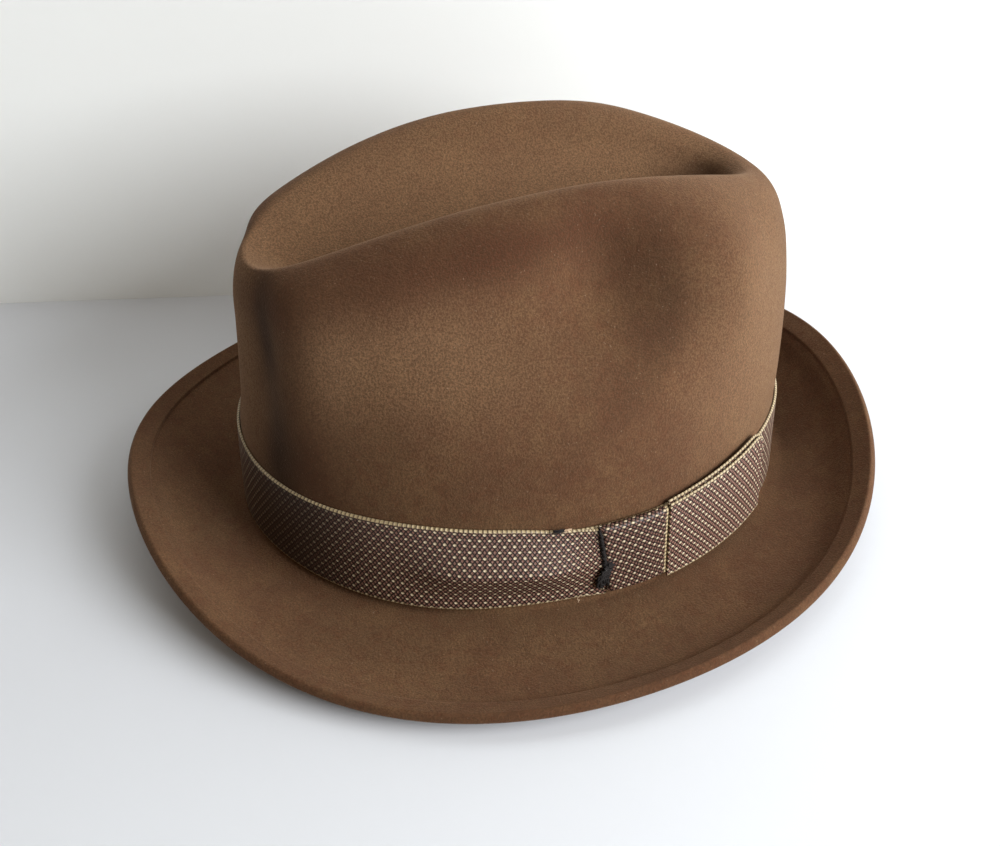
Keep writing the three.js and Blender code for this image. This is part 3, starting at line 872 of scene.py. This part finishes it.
def wall_material():
    """White wall that is seen from its front only, so that the hat can be looked at from behind it."""
    material, tree = new_material("white_wall")
    paint = put(tree, "BsdfPrincipled", {"Base Color": srgb("#f8f9f7"), "Roughness": 0.9})
    behind = put(tree, "NewGeometry").outputs["Backfacing"]
    shown = put(tree, "MixShader", behind, paint, put(tree, "BsdfTransparent"))
    put(tree, "OutputMaterial", shown)
    return material


def dress(piece, material, node):
    """Gives a piece its material, ties it to the hat's body and hides the solid of the node it stands for.
    """
    piece.data.materials.append(material)
    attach(piece, "root")
    if node:
        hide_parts(node)


class FEDORA_OT_felt(bpy.types.Operator):
    """Build the felt crown and brim"""

    bl_idname = "fedora.felt"
    bl_label = "Build Felt"

    def execute(self, context):
        piece = build_felt(context.scene.fedora_felt)
        dress(piece, felt_material(context.scene.fedora_colours), "felt_body")
        return {"FINISHED"}


class FEDORA_OT_ribbon(bpy.types.Operator):
    """Build the woven ribbon round the crown"""

    bl_idname = "fedora.ribbon"
    bl_label = "Build Ribbon"

    def execute(self, context):
        scene = context.scene
        piece = build_band(scene.fedora_felt, scene.fedora_ribbon)
        edge = scene.fedora_weave.selvage
        width = scene.fedora_ribbon.width
        # The band is darkened by painted shade beside the pinch (front) and all over (shade).
        cloth = ribbon_material("woven_ribbon", scene, width, (1.3 * edge, edge), front=0.7, shade=0.2)
        dress(piece, cloth, "hat_band")
        return {"FINISHED"}


class FEDORA_OT_bow(bpy.types.Operator):
    """Build the flat bow: its loop, its knot and the short end"""

    bl_idname = "fedora.bow"
    bl_label = "Build Bow"

    def execute(self, context):
        scene = context.scene
        felt, ribbon, edge = scene.fedora_felt, scene.fedora_ribbon, scene.fedora_weave.selvage
        cloth = ribbon_material("woven_ribbon_bow", scene, ribbon.width, (1.2 * edge, edge))
        dress(build_loop(felt, ribbon), cloth, "bow_loop")
        dress(build_end(felt, ribbon), cloth, "bow_front_end")
        edges = (0.0, 2.4 * edge)
        # The knot is a darker copy of the ribbon: its shade is painted shade.
        wound = ribbon_material("woven_ribbon_knot", scene, ribbon.knot_width, edges, lean=12.0, shade=0.38)
        dress(build_knot(felt, ribbon), wound, "bow_knot")
        return {"FINISHED"}


class FEDORA_OT_threads(bpy.types.Operator):
    """Build the sewing threads that show at the bow"""

    bl_idname = "fedora.threads"
    bl_label = "Build Threads"

    def execute(self, context):
        felt, ribbon = context.scene.fedora_felt, context.scene.fedora_ribbon
        dark = thread_material("dark_sewing_thread", "#0d0908", "#2e2320")
        pale = thread_material("pale_sewing_thread", "#c9ab8c", "#8f8478")
        off = 2 * ribbon.clearance + 2 * ribbon.thickness

        def spot(length, rise, out):
            angle = angle_at(felt, np.array(length))
            return ribbon_points(felt, ribbon, angle, np.array(rise), np.array(out))

        start = ribbon.knot_start
        low, high = spot(start + 1.5, 0.14, off + 0.4), spot(start - 1.9, 0.9, off + 0.2)
        knot, tuft = spot(start + 0.5, 0.3, off + 0.6), spot(start - 15, 0.97, off - 0.6)
        curl, stray = spot(start - 12.5, 0.97, off - 0.5), spot(start - 8, 0.03, off - 0.3)
        threads = (  # name, centre, spread, length, turns, radius, seed and cotton
            # The seam thread is made wide and dark to stand also for the shadow in the gap between the
            # front end and the knot.
            ("thread_seam", (low + high) / 2, (0.3, 0.5, 0.5), high - low, 9, 0.9, 4, dark),
            ("thread_knot", knot, (0.9, 3.4, 5.2), (0, 0, 4), 22, 0.42, 3, dark),
            ("thread_tuft", tuft, (0.7, 2.2, 0.8), (0, 3, 0), 6, 0.2, 8, dark),
            ("thread_curl", curl, (0.5, 1.2, 0.5), (0, 2, 0), 4, 0.14, 5, pale),
            ("thread_stray", stray, (0.3, 0.8, 1.2), (0, 1, 3), 1, 0.12, 6, pale),
        )
        for *shape, cotton in threads:
            dress(build_thread(*shape), cotton, None)
        return {"FINISHED"}


class FEDORA_OT_stage(bpy.types.Operator):
    """Set up the table, the wall, the light and the camera"""

    bl_idname = "fedora.stage"
    bl_label = "Set Up Stage"

    def execute(self, context):
        scene = context.scene
        r = STAGE_REACH
        floor = sheet("table_top", [(-r, -r, 0), (r, -r, 0), (r, r, 0), (-r, r, 0)])
        floor.data.materials.append(table_material())
        along = Vector(WALL_WAY).normalized()
        foot = Vector((-along.y, along.x, 0)) * WALL_DISTANCE
        near, far = foot - along * r, foot + along * r
        up = Vector((0, 0, r))
        wall = sheet("wall", [far, far + up, near + up, near])
        wall.data.materials.append(wall_material())
        window = Vector((0.74, 0.67, 0.52)).normalized() * 1.25
        lamp(scene, "window", window, (1.0, 0.7), 26, (0.95, 0.98, 1.0))
        lamp(scene, "ceiling", Vector((-0.2, 0.3, 1.5)), (2.0, 2.0), 3.0, (1.0, 0.93, 0.8))
        world = bpy.data.worlds.new("studio")
        world.use_nodes = True
        world.node_tree.nodes["Background"].inputs["Color"].default_value = srgb("#ffecd0")
        world.node_tree.nodes["Background"].inputs["Strength"].default_value = 0.17
        scene.world = world
        scene.view_settings.view_transform = "Standard"
        camera = bpy.data.cameras.new("camera")
        camera.lens, camera.sensor_width = CAMERA_LENS, SENSOR_WIDTH
        eye = bpy.data.objects.new("camera", camera)
        eye.location = Vector(CAMERA_PLACE) * MM
        eye.rotation_mode = "QUATERNION"
        eye.rotation_quaternion = Vector(CAMERA_WAY).to_track_quat("-Z", "Y")
        camera.clip_start, camera.clip_end = 0.01, 20
        scene.collection.objects.link(eye)
        scene.camera = eye
        return {"FINISHED"}


def lamp(scene, name, place, size, power, colour):
    """A soft rectangular lamp that shines on the hat."""
    light = bpy.data.lights.new(name, "AREA")
    light.shape = "RECTANGLE"
    light.size, light.size_y = size
    light.energy, light.color = power, colour
    holder = bpy.data.objects.new(name, light)
    holder.location = place
    holder.rotation_mode = "QUATERNION"
    holder.rotation_quaternion = (-place).to_track_quat("-Z", "Y")
    scene.collection.objects.link(holder)


def sheet(name, corners):
    """One flat four-cornered face, in metres."""
    mesh = bpy.data.meshes.new(name)
    mesh.from_pydata([tuple(c) for c in corners], [], [(0, 1, 2, 3)])
    piece = bpy.data.objects.new(name, mesh)
    bpy.context.scene.collection.objects.link(piece)
    return piece


class FEDORA_PT_panel(bpy.types.Panel):
    """Sizes of the hat and a button for each group of its pieces"""

    bl_label = "Fedora"
    bl_idname = "FEDORA_PT_panel"
    bl_space_type = "VIEW_3D"
    bl_region_type = "UI"
    bl_category = "Fedora"

    def draw(self, context):
        for name in GROUPS:
            group, box = getattr(context.scene, name), self.layout.box()
            for key in group.bl_rna.properties.keys():
                if key not in {"rna_type", "name"}:
                    box.prop(group, key)
        for operator in OPERATORS:
            self.layout.operator(operator.bl_idname)


GROUPS = {
    "fedora_felt": FedoraFelt,
    "fedora_ribbon": FedoraRibbon,
    "fedora_weave": FedoraWeave,
    "fedora_colours": FedoraColours,
}
OPERATORS = (FEDORA_OT_felt, FEDORA_OT_ribbon, FEDORA_OT_bow, FEDORA_OT_threads, FEDORA_OT_stage)
CLASSES = (*GROUPS.values(), *OPERATORS, FEDORA_PT_panel)


def register():
    """Register the classes and hang the sizes and colours on the scene."""
    for cls in CLASSES:
        bpy.utils.register_class(cls)
    for name, group in GROUPS.items():
        setattr(bpy.types.Scene, name, PointerProperty(type=group))


def unregister():
    """Take the sizes, the colours and the classes away again."""
    for name in GROUPS:
        delattr(bpy.types.Scene, name)
    for cls in reversed(CLASSES):
        bpy.utils.unregister_class(cls)


def main():
    """Build the hat and its stage."""
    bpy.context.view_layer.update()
    register()
    bpy.ops.fedora.felt()
    bpy.ops.fedora.ribbon()
    bpy.ops.fedora.bow()
    bpy.ops.fedora.threads()
    bpy.ops.fedora.stage()


if __name__ == "__main__":
    main()
